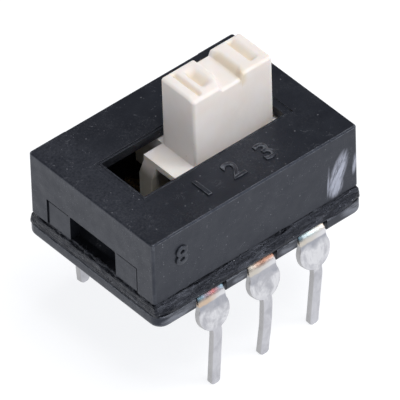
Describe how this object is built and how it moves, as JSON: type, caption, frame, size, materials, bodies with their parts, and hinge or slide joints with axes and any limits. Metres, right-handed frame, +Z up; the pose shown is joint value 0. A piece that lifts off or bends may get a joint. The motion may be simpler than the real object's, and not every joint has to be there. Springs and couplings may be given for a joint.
{
  "type": "slide switch",
  "caption": "Miniature board-mounted slide switch: a white knob slides along a window in a black moulded housing to swap two sets of contacts.",
  "frame": {"origin": "centre of the plan on the plane of the six pin tips", "axes": "+X along the switch towards the end where the knob stands at rest, +Y across it towards the rear row of terminals, +Z up out of the board"},
  "size_m": [0.0104, 0.0084, 0.0112],
  "materials": {
    "black_moulding": "satin black moulding with fine dust and a few white scuffs",
    "base_moulding": "satin black moulding",
    "sealing_resin": "rough, glinting black resin",
    "ivory_moulding": "slightly translucent warm white moulding",
    "tinned_brass": "dull tin plating with grey stains and tarnish tints on the bends",
    "spring_bronze": "bright spring strip",
    "spring_steel": "bright spring strip"
  },
  "bodies": {
    "body": {"housing": "black_moulding", "base": "base_moulding", "seal_bead": "sealing_resin", "terminal_front_left": "tinned_brass", "terminal_front_centre": "tinned_brass", "terminal_front_right": "tinned_brass", "terminal_rear_left": "tinned_brass", "terminal_rear_centre": "tinned_brass", "terminal_rear_right": "tinned_brass", "detent_spring": "spring_steel"},
    "slider_group": {"slider": "ivory_moulding", "contact_clip_front": "spring_bronze", "contact_clip_rear": "spring_bronze"}
  },
  "joints": [
    {"name": "slider_travel", "type": "slide", "parent": "body", "child": "slider_group", "axis": [-1, 0, 0], "range_m": [0, 0.00254], "deforming": ["detent_spring"]}
  ]
}
